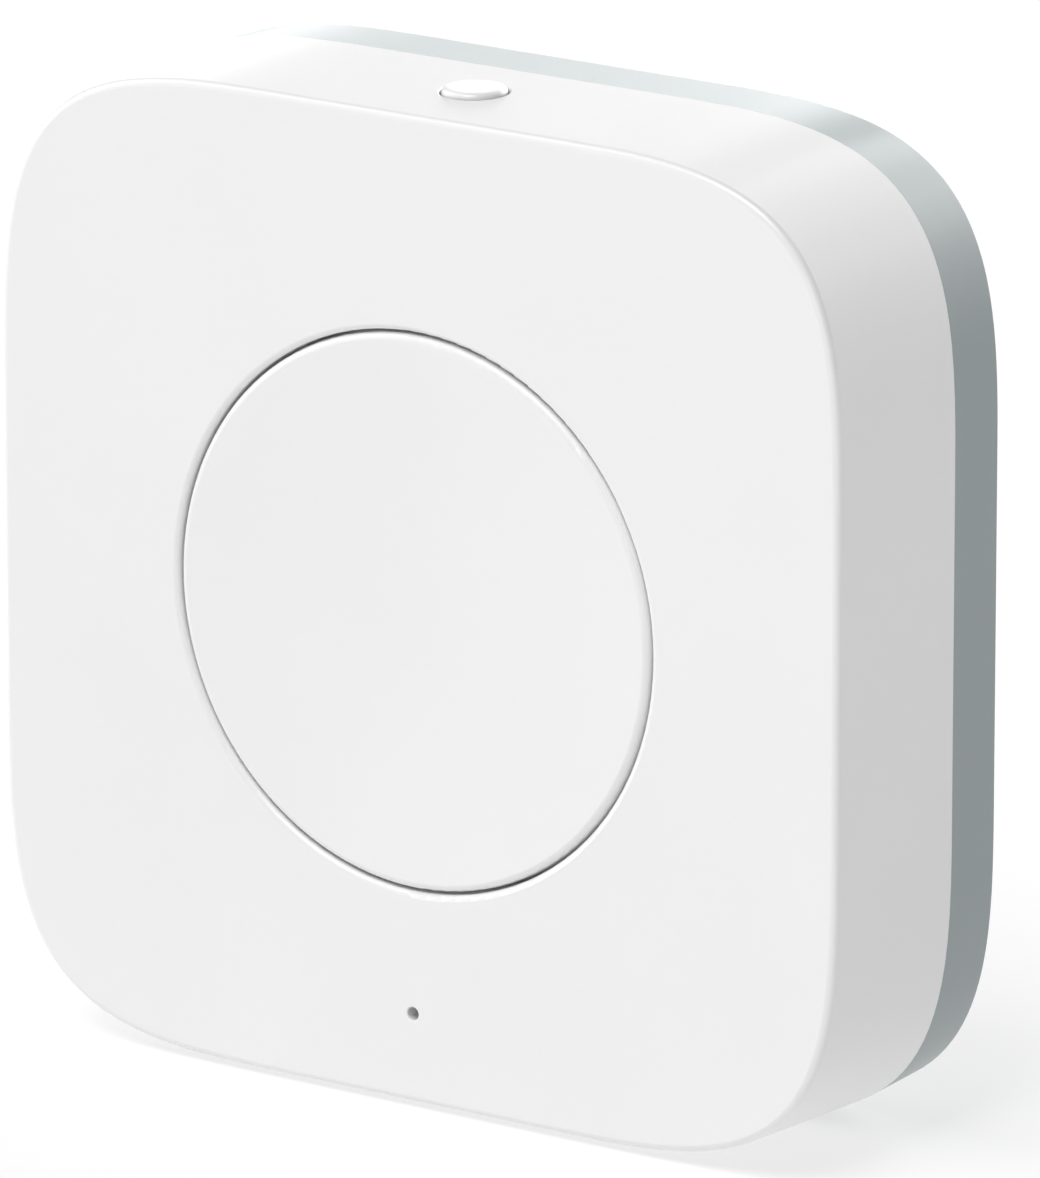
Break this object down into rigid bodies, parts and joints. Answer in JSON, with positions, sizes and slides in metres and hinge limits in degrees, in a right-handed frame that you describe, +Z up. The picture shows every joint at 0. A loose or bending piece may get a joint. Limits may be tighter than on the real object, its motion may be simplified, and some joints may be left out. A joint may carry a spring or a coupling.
{
  "type": "smart button",
  "caption": "Wall-mounted wireless smart button: rounded-square white housing, round dished push button, pinhole light, small reset button and grey pull-off rear cover over a coin cell.",
  "frame": {"origin": "centre of the flat rear face that meets the wall", "axes": "+X right as seen from the front, +Y into the wall, +Z up; the button faces -Y"},
  "size_m": [0.045, 0.0121, 0.0451],
  "materials": {
    "white_plastic": "fine satin moulded plastic, white",
    "grey_plastic": "satin moulded plastic, blue-grey",
    "clear_plastic": "clear moulded light pipe",
    "black_plastic": "black glass-filled nylon",
    "circuit_board": "green solder mask on glass-epoxy",
    "copper": "gold-plated copper",
    "spring_steel": "stamped spring steel",
    "tinned_steel": "bright tinned sheet",
    "cell_steel": "nickel-plated steel with fine turning marks",
    "screw_steel": "zinc-plated steel",
    "nylon": "natural nylon seal",
    "cell_filling": "pressed black powder",
    "chip_black": "black epoxy package",
    "chip_ceramic": "fired ceramic with tinned ends",
    "lamp": "milky lens on a white base",
    "foam_pad": "closed-cell foam with an adhesive film"
  },
  "bodies": {
    "housing": {"front_housing": "white_plastic", "light_pipe": "clear_plastic", "status_led": "lamp", "circuit_board": "circuit_board", "board_screws": "screw_steel", "main_switch_base": "black_plastic", "main_switch_cover": "tinned_steel", "main_switch_dome": "spring_steel", "main_switch_leads": "tinned_steel", "reset_switch_base": "black_plastic", "reset_switch_frame": "tinned_steel", "reset_switch_dome": "spring_steel", "battery_cradle": "black_plastic", "positive_contact": "spring_steel", "negative_contact": "spring_steel", "radio_shield": "tinned_steel", "radio_chip": "chip_black", "radio_crystal": "tinned_steel", "antenna_trace": "copper", "test_pads": "copper", "board_capacitors": "chip_ceramic", "board_resistors": "chip_black"},
    "main_button": {"main_button": "white_plastic"},
    "main_plunger": {"main_switch_plunger": "black_plastic"},
    "reset_button": {"reset_button": "white_plastic"},
    "reset_plunger": {"reset_switch_plunger": "black_plastic"},
    "rear_cover": {"rear_cover": "grey_plastic", "adhesive_pad": "foam_pad"},
    "battery": {"battery_can": "cell_steel", "battery_cap": "cell_steel", "battery_gasket": "nylon", "battery_filling": "cell_filling"}
  },
  "joints": [
    {"name": "main_button_press", "type": "slide", "parent": "housing", "child": "main_button", "axis": [0, 1, 0], "range_m": [0, 0.0003], "stiffness_N_per_m": 1200, "springref_m": -0.0006, "deforming": ["main_switch_dome"]},
    {"name": "main_plunger_press", "type": "slide", "parent": "housing", "child": "main_plunger", "axis": [0, 1, 0], "range_m": [0, 0.0003]},
    {"name": "reset_button_press", "type": "slide", "parent": "housing", "child": "reset_button", "axis": [0, 0, -1], "range_m": [0, 0.0003], "stiffness_N_per_m": 1000, "springref_m": -0.0005, "deforming": ["reset_switch_dome"]},
    {"name": "reset_plunger_press", "type": "slide", "parent": "housing", "child": "reset_plunger", "axis": [0, 0, -1], "range_m": [0, 0.0003]},
    {"name": "rear_cover_pull", "type": "slide", "parent": "housing", "child": "rear_cover", "axis": [0, 1, 0], "range_m": [0, 0.03]},
    {"name": "battery_lift", "type": "slide", "parent": "housing", "child": "battery", "axis": [0, 1, 0], "range_m": [0, 0.012]}
  ],
  "couplings": [
    {"joint": "main_plunger_press", "follows": "main_button_press", "ratio": 1},
    {"joint": "reset_plunger_press", "follows": "reset_button_press", "ratio": 1},
    {"joint": "battery_lift", "follows": "rear_cover_pull", "ratio": 0.4}
  ]
}
